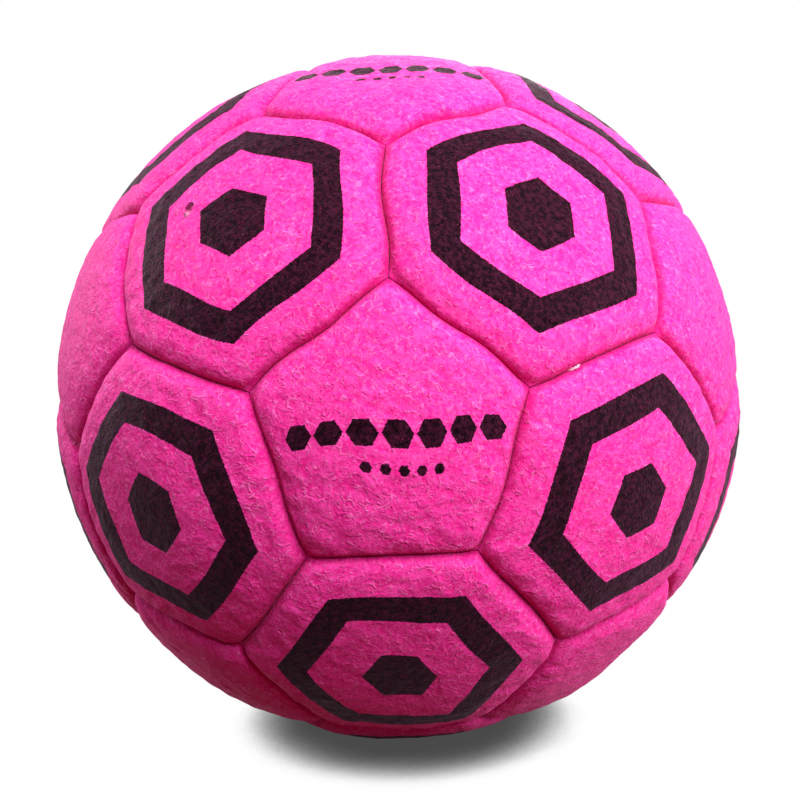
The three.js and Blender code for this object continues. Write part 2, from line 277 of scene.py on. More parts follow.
# Rubber: noises as above, heights and the mould line in millimetres, and its surface
RUBBER_GRAIN = (0.5, 3.0)
RUBBER_CLOUDS = (7.0, 4.0, 0.6)
RUBBER_RELIEF = 0.04
TALC_RANGE = (0.42, 0.72)
BLADDER_TALC = 0.35
MOULD_LINE = (0.2, 0.7)
MOULD_LINE_HEIGHT = 0.15
BLADDER_ROUGHNESS = 0.5
HOUSING_ROUGHNESS = 0.55
CORE_ROUGHNESS = 0.45
ROUGHNESS_DRIFT = 0.07

# Lamps, in metres: direction from the ball, size, and brightness of white paper that faces the lamp
LAMP_DISTANCE = 0.9
LAMPS = {
    "key_lamp": ((0.36, -0.72, 0.58), 0.5, 1.12),
    "top_lamp": ((0.05, -0.38, 0.92), 0.6, 0.84),
    "back_lamp": ((0.10, 0.85, 0.50), 0.5, 0.60),
    "right_lamp": ((0.97, -0.12, 0.15), 0.5, 0.68),
    "left_lamp": ((-0.85, 0.32, 0.32), 0.5, 0.68),
}
AMBIENT = 0.010
AMBIENT_TINT = (1.0, 0.40, 0.50, 1)

# Floor, in metres: its shadow follows how open the floor is to the sky within a reach
FLOOR_HALF = 6.0
FLOOR_BOUNCE = (0.11, 0.003, 0.018, 1)
SHADOW_REACH = 0.3
SHADOW_SAMPLES = 64
SHADOW_OPENING = (0.12, 0.29)
SHADOW_CURVE = 2.8
SHADOW_LEVEL = 0.067

# Camera, in metres and degrees
CAMERA_AZIMUTH = 1.18
CAMERA_ELEVATION = 5.2
CAMERA_ROLL = 1.8
CAMERA_DISTANCE = 3.372 * BALL_RADIUS * MM
CLIP_START = 0.01
FOCAL_PIXELS = 1101.2
PHOTO_PIXELS = 800
PHOTO_CENTRE = (398.3, 396.5)
SENSOR = 36.0


def unit(vectors):
    """Vectors of length one, row by row."""
    return vectors / np.linalg.norm(vectors, axis=-1, keepdims=True)


def ring(radius, turns, height):
    """Points of a circle about the z axis, one for each turn."""
    return np.stack([radius * np.cos(turns), radius * np.sin(turns), np.full(len(turns), height)], axis=1)


def swept(start, end, share):
    """Points at the given shares of the way round from one vector to another of the same length."""
    sweep = math.acos(np.dot(start, end) / (np.linalg.norm(start) * np.linalg.norm(end)))
    return (np.sin(sweep * (1 - share)) * start + np.sin(sweep * share) * end) / math.sin(sweep)


class PanelShape:
    """Corners and inward seam normals of a panel in its own frame, +Z out and the first corner towards +X."""

    def __init__(self, sides):
        self.sides = sides
        reach = math.asin(EDGE_RATIO / (2 * math.sin(math.pi / sides)))
        self.corners = ring(math.sin(reach), 2 * math.pi * np.arange(sides) / sides, math.cos(reach))
        self.normals = unit(np.cross(self.corners, np.roll(self.corners, -1, axis=0)))


HEXAGON = PanelShape(6)
PENTAGON = PanelShape(5)


def outline(shape, inset, depth, steps):
    """A closed outline round a panel at one inset and depth, with steps points along each seam."""
    before = np.roll(shape.normals, 1, axis=0)
    after = shape.normals
    inward = (before + after) / (1 + np.sum(before * after, axis=1, keepdims=True))
    radius = BALL_RADIUS - depth
    along = np.sqrt(radius ** 2 - inset ** 2 * np.sum(inward ** 2, axis=1, keepdims=True))
    corners = inward * inset + shape.corners * along
    share = np.arange(steps)[:, None] / steps
    sides = []
    for i in range(shape.sides):
        offset = shape.normals[i] * inset
        start = corners[i] - offset
        end = corners[(i + 1) % shape.sides] - offset
        sides.append(offset + swept(start, end, share))
    return np.concatenate(sides)


def waves(points, wavelength, seed, count):
    """A smooth random field of one wavelength, with a spread of about one."""
    random = np.random.default_rng(seed)
    heading = unit(random.normal(size=(count, 3)))
    stretch = random.uniform(*WAVE_STRETCH, size=(count, 1))
    phase = random.uniform(0, 2 * math.pi, size=count)
    turns = points @ (heading * stretch * 2 * math.pi / wavelength).T + phase
    return np.sin(turns).sum(axis=1) * math.sqrt(2 / count)


def wandered(points):
    """Points in the ball's frame, moved sideways by the wander that all seams share except at the valve."""
    out = unit(points)
    reach = np.linalg.norm(points, axis=1, keepdims=True)
    place = out * BALL_RADIUS
    shift = np.stack([waves(place, SEAM_WANDER_WAVE, seed, SMOOTH_WAVES) for seed in WANDER_SEEDS], axis=1)
    shift -= out * np.sum(shift * out, axis=1, keepdims=True)
    from_valve = np.linalg.norm(place - np.array([0, BALL_RADIUS, 0]), axis=1, keepdims=True)
    still, moving = VALVE_STILL
    free = np.clip((from_valve - still) / (moving - still), 0, 1)
    return unit(place + shift * SEAM_WANDER * free) * reach


def seam_distance(shape, out):
    """Distance in from each seam plane, for unit vectors in the panel's frame."""
    return out @ shape.normals.T * BALL_RADIUS


def soft_nearest(distances):
    """The smallest of some distances, rounded where two are alike."""
    low = distances.min(axis=1, keepdims=True)
    spread = np.exp((low - distances) / CORNER_SOFTNESS).sum(axis=1)
    return low[:, 0] - CORNER_SOFTNESS * np.log(spread)


def face_depth(distance):
    """How far the face lies below the ball's outline at one distance from the seam."""
    return sum(depth * (1 - np.clip(distance / width, 0, 1)) ** 2 for depth, width in (PUFF, ROLL, NOTCH))


def face_relief(out, distance, seed):
    """Swells, felt lumps and the puckers that the stitches pull beside a seam."""
    place = out * BALL_RADIUS
    relief = SWELL_HEIGHT * waves(place, SWELL_WAVE, seed, SMOOTH_WAVES)
    for layer, (height, wavelength) in enumerate(LUMP_LAYERS, start=1):
        relief += height * waves(place, wavelength, seed + LUMP_SEED_STEP * layer, LUMPY_WAVES)
    pucker = PUCKER_HEIGHT * waves(place, PUCKER_WAVE, seed + PUCKER_SEED_STEP, LUMPY_WAVES)
    fade = np.clip(distance / RELIEF_FADE, 0, 1)
    return relief * fade + pucker * np.exp(-distance / PUCKER_REACH) * fade


def row_shares(count):
    """How far out each of a panel's rows lies, crowded towards its seams."""
    left = 1 - np.arange(count + 1) / count
    return 1 - (left * (1 - EDGE_CROWDING) + left ** 2 * EDGE_CROWDING)


def band(near, far, count):
    """Triangles between two closed rings of count points, each given by the place of its first point."""
    here = np.arange(count)
    after = (here + 1) % count
    return np.concatenate([
        np.stack([near + here, far + here, far + after], axis=1),
        np.stack([near + here, far + after, near + after], axis=1),
    ])


def bands(start, count, rings):
    """Triangles between rings of equal count that follow one another."""
    return np.concatenate([band(start + k * count, start + (k + 1) * count, count) for k in range(rings - 1)])


def fan_grid(shape, count, slit):
    """Unit vectors and triangles of a grid whose rows run round the panel, one step more in each."""
    shares = row_shares(count)
    rows = [OUTWARD[None, :]]
    starts = [0]
    triangles = []
    for k in range(1, count + 1):
        edge = unit(outline(shape, slit, 0, k))
        starts.append(starts[-1] + len(rows[-1]))
        rows.append(unit(edge * shares[k] + OUTWARD * (1 - shares[k])))
        inner_count = len(rows[k - 1])
        for side in range(shape.sides):
            j = np.arange(k)
            inner = starts[k - 1] + (side * (k - 1) + j) % inner_count
            outer = starts[k] + side * k + j
            beyond = starts[k] + (side * k + j + 1) % len(rows[k])
            triangles.append(np.stack([inner, outer, beyond], axis=1))
            following = starts[k - 1] + (side * (k - 1) + j[:-1] + 1) % inner_count
            triangles.append(np.stack([inner[:-1], beyond[:-1], following], axis=1))
    return np.concatenate(rows), np.concatenate(triangles)


def hole_grid(shape, radius, steps, count, slit):
    """The same for a panel with a round hole in its middle, with as many steps along a seam in each row."""
    edge = unit(outline(shape, slit, 0, steps))
    reach = radius / BALL_RADIUS
    rim = ring(reach, np.arctan2(edge[:, 1], edge[:, 0]), math.sqrt(1 - reach ** 2))
    rows = [unit(edge * share + rim * (1 - share)) for share in row_shares(count)]
    return np.concatenate(rows), bands(0, len(edge), count + 1)


def edge_section():
    """Insets and depths of a turned-in edge at the crease, tip and root, as in the CAD model."""
    spread = THREAD_WIDTH / 2 + LAYER_GAP - SEAM_GAP / 2
    tip_inset = SEAM_GAP / 2 + spread * SEAM_ALLOWANCE / STITCH_LINE_DEPTH
    crease = (SEAM_SLIT, CREASE_DEPTH + CREASE_DROP)
    tip = (tip_inset, CREASE_DEPTH + SEAM_ALLOWANCE)
    root = (tip_inset + SHOULDER_WIDTH - SEAM_GAP / 2, FELT_THICKNESS)
    return crease, tip, root


class Panel:
    """One panel of the ball: its name, its shape and its turn in the ball."""

    def __init__(self, name, shape, centre, first_corner):
        self.name = name
        self.shape = shape
        out = unit(centre)
        towards = unit(first_corner - out * np.dot(first_corner, out))
        self.turn = np.stack([towards, np.cross(out, towards), out], axis=1)


def direction(from_front, turn):
    """A direction at one angle from the front axis, turned clockwise from the top as seen from the front."""
    return np.array([
        math.sin(from_front) * math.sin(turn),
        -math.cos(from_front),
        math.sin(from_front) * math.cos(turn),
    ])


def lay_out_panels():
    """Every panel, in the CAD model's order and places."""
    front = direction(0, 0)
    back = direction(math.pi, 0)
    turns = [2 * math.pi * i / PANELS_ROUND for i in range(PANELS_ROUND)]
    near = [direction(RING_ANGLE, turn) for turn in turns]
    far = [direction(math.pi - RING_ANGLE, math.pi / PANELS_ROUND + turn) for turn in turns]
    found = [
        Panel("pentagon_front", PENTAGON, front, near[0]),
        Panel(VALVE_PANEL, PENTAGON, back, far[0]),
    ]
    for i in range(PANELS_ROUND):
        after = (i + 1) % PANELS_ROUND
        found.append(Panel(f"pentagon_near_{i + 1}", PENTAGON, near[i], front))
        found.append(Panel(f"pentagon_far_{i + 1}", PENTAGON, far[i], back))
        for place, (a, b, c) in {
            "front": (front, near[i], near[after]),
            "near": (near[i], near[after], far[i]),
            "far": (far[i], far[after], near[after]),
            "back": (back, far[i], far[after]),
        }.items():
            found.append(Panel(f"hexagon_{place}_{i + 1}", HEXAGON, a + b + c, 2 * a + b))
    return found


def puffed_face(shape, hole, seed):
    """Points, triangles and seam distances of a panel's face, with a round hole where its radius isn't 0."""
    if hole:
        out, triangles = hole_grid(shape, hole, FACE_ROWS, HOLE_ROWS, SEAM_SLIT)
    else:
        out, triangles = fan_grid(shape, FACE_ROWS, SEAM_SLIT)
    distances = seam_distance(shape, out)
    soft = np.clip(soft_nearest(distances), 0, None)
    height = BALL_RADIUS - face_depth(soft) + face_relief(out, soft, seed)
    if hole:
        from_rim = np.hypot(out[:, 0], out[:, 1]) * BALL_RADIUS - hole
        height -= HOLE_DROP * np.exp(-from_rim / HOLE_ROLL)
    return out * height[:, None], triangles, distances.min(axis=1)


def panel_points(panel, seed):
    """Vertices, triangles and seam distances of one closed, puffed panel, in the panel's frame."""
    hole = STEM_RADIUS + FELT_HOLE_CLEARANCE if panel.name == VALVE_PANEL else 0
    face, triangles, nearest = puffed_face(panel.shape, hole, seed)
    count = FACE_ROWS * panel.shape.sides
    rings = [outline(panel.shape, inset, depth, FACE_ROWS) for inset, depth in edge_section()]
    under = BALL_RADIUS - FELT_THICKNESS
    if hole:
        rim_turns = np.arctan2(face[:count, 1], face[:count, 0])
        rings.append(ring(hole, rim_turns, math.sqrt(under ** 2 - hole ** 2)))
    else:
        rings.append(unit(unit(rings[-1]) + OUTWARD) * under)
    first = len(face) - count
    last = first + len(rings) * count
    faces = [triangles, bands(first, count, len(rings) + 1)]
    if hole:
        faces.append(band(last, 0, count))
    else:
        middle = last + count
        rings.append(OUTWARD[None, :] * under)
        here = np.arange(count)
        faces.append(np.stack([np.full(count, middle), last + (here + 1) % count, last + here], axis=1))
    points = np.concatenate([face, *rings])
    distances = np.concatenate([nearest, np.zeros(len(points) - len(face))])
    return points, np.concatenate(faces), distances


def pressed_on_floor(points):
    """Points in the CAD model's frame, kept above the floor with a soft bend where the ball rests."""
    low = points[:, 2]
    points[:, 2] = (low + np.sqrt(low ** 2 + FOOT_SOFTNESS ** 2)) / 2
    points[:, 2] -= points[:, 2].min()
    return points


def new_mesh(name, points, faces):
    """A smooth-shaded object from points in metres."""
    mesh = bpy.data.meshes.new(name)
    mesh.vertices.add(len(points))
    mesh.vertices.foreach_set("co", points.astype(np.float32).ravel())
    mesh.loops.add(faces.size)
    mesh.loops.foreach_set("vertex_index", faces.astype(np.int32).ravel())
    mesh.polygons.add(len(faces))
    mesh.polygons.foreach_set("loop_start", np.arange(0, faces.size, faces.shape[1], dtype=np.int32))
    mesh.update()
    mesh.validate()
    mesh.shade_smooth()
    made = bpy.data.objects.new(name, mesh)
    bpy.context.scene.collection.objects.link(made)
    return made


def store(made, name, kind, values, domain="POINT"):
    """Keeps one value or vector at each vertex or face corner for the material to read."""
    layer = made.data.attributes.new(name, kind, domain)
    key = "vector" if kind == "FLOAT_VECTOR" else "value"
    layer.data.foreach_set(key, values.astype(np.float32).ravel())


def in_frame(made, node, material, body="ball"):
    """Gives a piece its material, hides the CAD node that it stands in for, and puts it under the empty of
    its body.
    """
    made.data.materials.append(material)
    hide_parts(node)
    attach(made, body)


def cut_place(points, random):
    """Where a panel's points lie in the felt that it was cut from, turned and moved at random."""
    spin = random.uniform(0, 2 * math.pi)
    turn = np.array([
        [math.cos(spin), -math.sin(spin), 0],
        [math.sin(spin), math.cos(spin), 0],
        [0, 0, 1],
    ])
    return points @ turn.T + random.uniform(-CUT_SPREAD, CUT_SPREAD, size=3)


def felt_panel(panel, index, material):
    """One felt panel as its own piece."""
    points, faces, nearest = panel_points(panel, FACE_SEED + index)
    placed = wandered(points @ panel.turn.T) + BALL_CENTRE
    if placed[:, 2].min() < 2 * REST_FLAT_DEPTH:
        placed = pressed_on_floor(placed)
    made = new_mesh(f"felt_panel_{panel.name}", placed * MM, faces)
    store(made, "felt_place", "FLOAT_VECTOR", cut_place(points, np.random.default_rng(CUT_SEED + index)))
    store(made, "seam_distance", "FLOAT", nearest)
    up = -1 if panel.name == TOP_PANEL else 1
    store(made, "print_place", "FLOAT_VECTOR", points[:, [1, 0, 2]] * np.array([-up, up, 0]))
    in_frame(made, f"felt_{panel.name}", material)


class Nodes:
    """Short calls that add and join the nodes of one material, or of a tree that is there already."""

    def __init__(self, name=None, tree=None):
        self.tree = tree
        if name:
            self.material = bpy.data.materials.new(name)
            self.material.use_nodes = True
            self.tree = self.material.node_tree
            self.shader = self.tree.nodes["Principled BSDF"]
            self.output = self.tree.nodes["Material Output"]

    def add(self, kind, inputs=None, **settings):
        node = self.tree.nodes.new(kind)
        for key, value in settings.items():
            setattr(node, key, value)
        for key, value in (inputs or {}).items():
            self.put(node, key, value)
        return node

    def put(self, node, key, value):
        socket = node.inputs[key]
        if isinstance(value, bpy.types.NodeSocket):
            self.tree.links.new(value, socket)
        else:
            socket.default_value = value

    def math(self, operation, *values, clamp=False):
        node = self.add("ShaderNodeMath", operation=operation, use_clamp=clamp)
        for i, value in enumerate(values):
            self.put(node, i, value)
        return node.outputs[0]

    def shift(self, operation, *values):
        node = self.add("ShaderNodeVectorMath", operation=operation)
        for i, value in enumerate(values):
            self.put(node, "Scale" if operation == "SCALE" and i == 1 else i, value)
        return node.outputs[0]

    def ramp(self, value, low, high, start=0.0, end=1.0):
        """value from low to high becomes start to end, eased at both."""
        node = self.add("ShaderNodeMapRange", interpolation_type="SMOOTHSTEP", inputs={
            "Value": value, "From Min": low, "From Max": high, "To Min": start, "To Max": end,
        })
        return node.outputs["Result"]

    def noise(self, place, size, detail=2.0, roughness=0.5):
        """Noise whose blobs are about size millimetres across."""
        node = self.add("ShaderNodeTexNoise", inputs={
            "Vector": place, "Scale": 1 / size, "Detail": detail, "Roughness": roughness,
        })
        return node.outputs["Fac"]

    def mix(self, share, first, second):
        node = self.add("ShaderNodeMix", data_type="RGBA")
        self.put(node, 0, share)
        self.put(node, 6, first)
        self.put(node, 7, second)
        return node.outputs[2]

    def attribute(self, name, output):
        return self.add("ShaderNodeAttribute", attribute_name=name).outputs[output]


def object_place(nodes):
    """The place in the CAD model's frame, in millimetres."""
    coordinates = nodes.add("ShaderNodeTexCoord").outputs["Object"]
    return nodes.shift("SCALE", coordinates, 1 / MM)


def finish_surface(nodes, colour, rough, relief):
    """Joins a colour, a roughness and a height in millimetres to the shader."""
    bump = nodes.add("ShaderNodeBump", inputs={"Strength": 1.0, "Distance": MM, "Height": relief})
    nodes.put(nodes.shader, "Base Color", colour)
    nodes.put(nodes.shader, "Roughness", rough)
    nodes.put(nodes.shader, "Normal", bump.outputs["Normal"])


def wisps(nodes, place, cell, width, seed):
    """Thin curved fibres: the borders of bent cells, broken into short runs."""
    moved = nodes.shift("ADD", place, (seed, -seed, seed))
    bend = nodes.add("ShaderNodeTexNoise", inputs={
        "Vector": moved, "Scale": CELL_BENDS / cell, "Detail": 1.0,
    })
    centred = nodes.shift("SUBTRACT", bend.outputs["Color"], (0.5, 0.5, 0.5))
    bent = nodes.shift("ADD", moved, nodes.shift("SCALE", centred, BEND_REACH * cell))
    cells = nodes.add("ShaderNodeTexVoronoi", feature="DISTANCE_TO_EDGE", inputs={
        "Vector": bent, "Scale": 1 / cell,
    })
    line = nodes.ramp(cells.outputs["Distance"], 0.0, width / cell, start=1.0, end=0.0)
    runs = nodes.ramp(nodes.noise(moved, FIBRE_RUN * cell, detail=1.0), *FIBRE_RUN_RANGE)
    return nodes.math("MULTIPLY", line, runs)


def felt_fields(nodes):
    """The place in the felt, and how much of each thing that makes up its texture is there."""
    place = nodes.attribute("felt_place", "Vector")
    short_fibres = nodes.math("MULTIPLY", wisps(nodes, place, *SHORT_FIBRES), SHORT_FIBRE_STRENGTH)
    return {
        "place": place,
        "blotches": nodes.noise(place, *BLOTCHES),
        "nap": nodes.noise(place, *NAP),
        "grain": nodes.noise(place, *GRAIN),
        "fibres": nodes.math("MAXIMUM", wisps(nodes, place, *LONG_FIBRES), short_fibres),
        "strands": wisps(nodes, place, *STRANDS),
        "pits": nodes.ramp(nodes.noise(place, *PITS), *PIT_RANGE),
        "specks": nodes.ramp(nodes.noise(place, *SPECKS), *SPECK_RANGE),
    }


def felt_colour(nodes, felt):
    """Two tones of pink, pale fibres and specks, dark pits, and painted shade that darkens the felt along the
    seams.
    """
    blotches = nodes.math("MULTIPLY", felt["blotches"], BLOTCH_SHARE)
    tone = nodes.math("ADD", blotches, nodes.math("MULTIPLY", felt["nap"], 1 - BLOTCH_SHARE))
    colour = nodes.mix(nodes.ramp(tone, *TONE_RANGE), FELT_DEEP, FELT_PLAIN)
    for field, (strength, mark_colour) in FELT_MARKS.items():
        colour = nodes.mix(nodes.math("MULTIPLY", felt[field], strength), colour, mark_colour)
    # Painted shade: the colour darkens towards each seam, ragged by the nap, as the crease would shade it
    shade_distance = nodes.math("MULTIPLY_ADD", felt["nap"], SEAM_SHADE_RAGGEDNESS, nodes.attribute("seam_distance", "Fac"))
    return nodes.mix(nodes.ramp(shade_distance, *SEAM_SHADE_RANGE, start=SEAM_SHADE_STRENGTH, end=0.0), colour, FELT_SEAM_SHADE)


def ring_print(nodes):
    """How far a place is inside the hexagons' ring or middle patch."""
    distance = nodes.attribute("seam_distance", "Fac")
    off_ring = nodes.math("ABSOLUTE", nodes.math("SUBTRACT", distance, RING_INSET + RING_BAND / 2))
    band_inside = nodes.math("SUBTRACT", RING_BAND / 2, off_ring)
    patch_inside = nodes.math("SUBTRACT", distance, PATCH_INSET)
    return nodes.math("MAXIMUM", band_inside, patch_inside)


def hexagon_row(nodes, place, middle, pitch, count, apothem):
    """A row of small solid hexagons, as how far a place is inside one, in millimetres."""
    split = nodes.add("ShaderNodeSeparateXYZ", inputs={0: nodes.shift("SUBTRACT", place, (*middle, 0))})
    across = nodes.math("ROUND", nodes.math("DIVIDE", split.outputs["X"], pitch))
    last = (count - 1) / 2
    held = nodes.math("MINIMUM", nodes.math("MAXIMUM", across, -last), last)
    centre = nodes.math("MULTIPLY", held, pitch)
    x = nodes.math("ABSOLUTE", nodes.math("SUBTRACT", split.outputs["X"], centre))
    y = nodes.math("ABSOLUTE", split.outputs["Y"])
    along = nodes.math("MULTIPLY", x, math.cos(math.pi / 6))
    slant = nodes.math("ADD", along, nodes.math("MULTIPLY", y, math.sin(math.pi / 6)))
    return nodes.math("SUBTRACT", apothem, nodes.math("MAXIMUM", slant, y))


def row_print(nodes):
    """How far a place is inside the two rows of marks on a pentagon."""
    place = nodes.attribute("print_place", "Vector")
    large = hexagon_row(nodes, place, **LARGE_MARKS)
    small = hexagon_row(nodes, place, **SMALL_MARKS)
    return nodes.math("MAXIMUM", large, small)


def inked(nodes, felt, colour, inside):
    """The colour with black ink where there is a print, frayed at its edge."""
    fray = nodes.math("SUBTRACT", nodes.noise(felt["place"], *INK_FRAY), 0.5)
    edge = nodes.math("MULTIPLY_ADD", fray, INK_FRAY_REACH, inside)
    missed = nodes.ramp(nodes.noise(felt["place"], *MISSED_INK), *MISSED_RANGE)
    taken = nodes.math("MULTIPLY_ADD", missed, -MISSED_STRENGTH, 1.0)
    ink = nodes.math("MULTIPLY", nodes.ramp(edge, *INK_EDGE), taken)
    return nodes.mix(ink, colour, nodes.mix(nodes.ramp(felt["nap"], *INK_TONE_RANGE), INK_DEEP, INK_PALE))


def torn(nodes, felt, colour, relief):
    """The colour and relief with the pit and the tuft of the torn spot."""
    fray = nodes.math("SUBTRACT", nodes.noise(felt["place"], *TORN_FRAY), 0.5)
    for middle, reach, mark_colour, strength, height in (TORN_PIT, TORN_TUFT):
        off = nodes.add("ShaderNodeVectorMath", {0: object_place(nodes), 1: middle}, operation="DISTANCE")
        inside = nodes.ramp(nodes.math("MULTIPLY_ADD", fray, TORN_FRAY_REACH, off.outputs["Value"]), *reach)
        colour = nodes.mix(nodes.math("MULTIPLY", inside, strength), colour, mark_colour)
        relief = nodes.math("MULTIPLY_ADD", inside, height, relief)
    return colour, relief


def felt_material(name, print_field=None):
    """Hot-pink needle felt, with black ink where there is a print."""
    nodes = Nodes(name)
    felt = felt_fields(nodes)
    colour = felt_colour(nodes, felt)
    relief = 0.0
    for field, height in FELT_HEIGHTS.items():
        relief = nodes.math("MULTIPLY_ADD", felt[field], height, relief)
    if print_field:
        colour = inked(nodes, felt, colour, print_field(nodes))
    if print_field is ring_print:
        colour, relief = torn(nodes, felt, colour, relief)
    finish_surface(nodes, colour, nodes.ramp(felt["nap"], *NOISE_SPAN, *FELT_ROUGHNESS), relief)
    for socket, value in FELT_FINISH.items():
        nodes.put(nodes.shader, socket, value)
    return nodes.material


def thread_material():
    """Pale waxed thread with pink stains and fine fibre."""
    nodes = Nodes("waxed_thread")
    place = object_place(nodes)
    grain = nodes.noise(place, *THREAD_GRAIN)
    stain = nodes.ramp(nodes.noise(place, *STAINS), *STAIN_RANGE, end=STAIN_STRENGTH)
    colour = nodes.mix(stain, nodes.mix(grain, *THREAD_TONES), THREAD_PINK)
    rough = nodes.ramp(grain, *NOISE_SPAN, *THREAD_ROUGHNESS)
    finish_surface(nodes, colour, rough, nodes.math("MULTIPLY", grain, THREAD_RELIEF))
    return nodes.material


def cloth_material(name, tones, pitch):
    """Plain weave, whose warp and weft pass over and under each other."""
    nodes = Nodes(name)
    place = nodes.attribute("weave_place", "Vector")
    drift = nodes.math("MULTIPLY", nodes.noise(place, *WEAVE_DRIFT), WEAVE_DRIFT_REACH)
    split = nodes.add("ShaderNodeSeparateXYZ", inputs={0: place})
    yarns = []
    for axis in ("X", "Y"):
        along = nodes.math("ADD", split.outputs[axis], drift)
        yarns.append(nodes.math("COSINE", nodes.math("MULTIPLY", along, math.pi / pitch)))
    warp, weft = yarns
    crossing = nodes.math("MULTIPLY", warp, weft)
    warp_top = nodes.math("ADD", nodes.math("ABSOLUTE", warp), crossing)
    weft_top = nodes.math("SUBTRACT", nodes.math("ABSOLUTE", weft), crossing)
    weave = nodes.math("MULTIPLY", nodes.math("MAXIMUM", warp_top, weft_top), 0.5)
    slubs = nodes.noise(place, *SLUBS)
    fuzz = nodes.noise(place, *FUZZ)
    tone = nodes.math("MULTIPLY_ADD", slubs, SLUB_TONE, nodes.math("MULTIPLY", weave, WEAVE_TONE))
    tone = nodes.math("MULTIPLY_ADD", fuzz, FUZZ_TONE, tone)
    relief = nodes.math("MULTIPLY", weave, WEAVE_RELIEF * pitch)
    relief = nodes.math("MULTIPLY_ADD", fuzz, FUZZ_RELIEF, relief)
    finish_surface(nodes, nodes.mix(nodes.ramp(tone, *CLOTH_TONE_RANGE), *tones), CLOTH_ROUGHNESS, relief)
    nodes.put(nodes.shader, "Sheen Weight", CLOTH_SHEEN)
    return nodes.material


def rubber_material(name, tones, rough, talc=0.0, mould_line=False):
    """Black rubber with a fine grain, some talc dust, and a raised mould line where it has one."""
    nodes = Nodes(name)
    place = object_place(nodes)
    grain = nodes.noise(place, *RUBBER_GRAIN)
    clouds = nodes.noise(place, *RUBBER_CLOUDS)
    dust = nodes.math("MULTIPLY", nodes.ramp(clouds, *TALC_RANGE), talc)
    colour = nodes.mix(dust, nodes.mix(grain, *tones), TALC)
    relief = nodes.math("MULTIPLY", grain, RUBBER_RELIEF)
    if mould_line:
        split = nodes.add("ShaderNodeSeparateXYZ", inputs={0: place})
        off_line = nodes.math("ABSOLUTE", split.outputs["X"])
        relief = nodes.math("ADD", relief, nodes.ramp(off_line, *MOULD_LINE, MOULD_LINE_HEIGHT, 0.0))
    drifting = nodes.ramp(clouds, *NOISE_SPAN, rough - ROUGHNESS_DRIFT, rough + ROUGHNESS_DRIFT)
    finish_surface(nodes, colour, drifting, relief)
    return nodes.material


def cover(panels):
    """The felt cover: ringed hexagons, two pentagons with rows of marks, and plain ones."""
    plain = felt_material("felt_plain")
    ringed = felt_material("felt_ringed", ring_print)
    rowed = felt_material("felt_rowed", row_print)
    for index, panel in enumerate(panels):
        if panel.shape is HEXAGON:
            material = ringed
        elif panel.name in ROWED_PANELS:
            material = rowed
        else:
            material = plain
        felt_panel(panel, index, material)


def joined(meshes):
    """Points and faces of several meshes as one."""
    starts = np.cumsum([0] + [len(points) for points, _ in meshes])
    faces = [faces + start for (_, faces), start in zip(meshes, starts)]
    return np.concatenate([points for points, _ in meshes]), np.concatenate(faces)


def seam_arcs(panels):
    """Both ends of each seam as unit vectors in the ball's frame, every seam once."""
    arcs = {}
    for panel in panels:
        corners = panel.shape.corners @ panel.turn.T
        for start, end in zip(corners, np.roll(corners, -1, axis=0)):
            key = tuple(np.round(start + end, 4) + 0.0)
            arcs.setdefault(key, (start, end))
    return list(arcs.values())


def ply(path, out, side, phase):
    """Points and faces of one ply, wound round a path."""
    run = np.concatenate([[0], np.cumsum(np.linalg.norm(np.diff(path, axis=0), axis=1))])
    wind = 2 * math.pi * run / PLY_PITCH + phase
    core = path + PLY_RADIUS * (np.cos(wind)[:, None] * out + np.sin(wind)[:, None] * side)
    turns = 2 * math.pi * np.arange(PLY_SIDES) / PLY_SIDES
    rim = np.cos(turns)[None, :, None] * out[:, None, :] + np.sin(turns)[None, :, None] * side[:, None, :]
    points = (core[:, None, :] + PLY_RADIUS * rim).reshape(-1, 3)
    inner = np.arange(1, PLY_SIDES - 1)
    first = np.stack([np.zeros_like(inner), inner, inner + 1], axis=1)
    last = len(points) - PLY_SIDES + first[:, ::-1]
    return points, np.concatenate([bands(0, PLY_SIDES, len(path)), first, last])


def thread_plies(start, end):
    """The two plies along one seam, on a path that waves with the stitches."""
    depth = CREASE_DEPTH + STITCH_LINE_DEPTH
    length = math.acos(np.dot(start, end)) * (BALL_RADIUS - depth)
    steps = max(int(length / THREAD_STEP), 2)
    share = np.linspace(*THREAD_ENDS, steps + 1)[:, None]
    out = unit(swept(start, end, share))
    rise = STITCH_WAVE * np.cos(2 * math.pi * share * length / STITCH_PITCH)
    off = np.linalg.norm(out - unit(np.array(LOOSE_STITCH_HEADING)), axis=1, keepdims=True) * BALL_RADIUS
    rise += LOOSE_STITCH_RISE * np.exp(-(off / LOOSE_STITCH_REACH) ** 2)
    path = out * (BALL_RADIUS - depth + rise)
    side = np.repeat(unit(np.cross(start, end))[None, :], len(path), axis=0)
    return [ply(path, out, side, phase) for phase in (0, math.pi)]


def stitched_thread(panels):
    """The sewing thread: two plies wound round each other along every seam."""
    plies = []
    for start, end in seam_arcs(panels):
        plies += thread_plies(start, end)
    points, faces = joined(plies)
    made = new_mesh("stitched_thread", (wandered(points) + BALL_CENTRE) * MM, faces)
    in_frame(made, "seam_thread", thread_material())


def welded(points, faces):
    """The surface with points that lie together made one, less the faces that this closes, and which stay."""
    keys = np.round(points / WELD_DISTANCE).astype(np.int64)
    _, first, place = np.unique(keys, axis=0, return_index=True, return_inverse=True)
    kept = place.reshape(-1)[faces]
    a, b, c = kept.T
    whole = (a != b) & (b != c) & (c != a)
    return points[first], kept[whole], whole


def weave_place(points, faces):
    """The place in the weave of each face corner."""
    return points[faces.ravel()] * np.array([1, 1, 0])


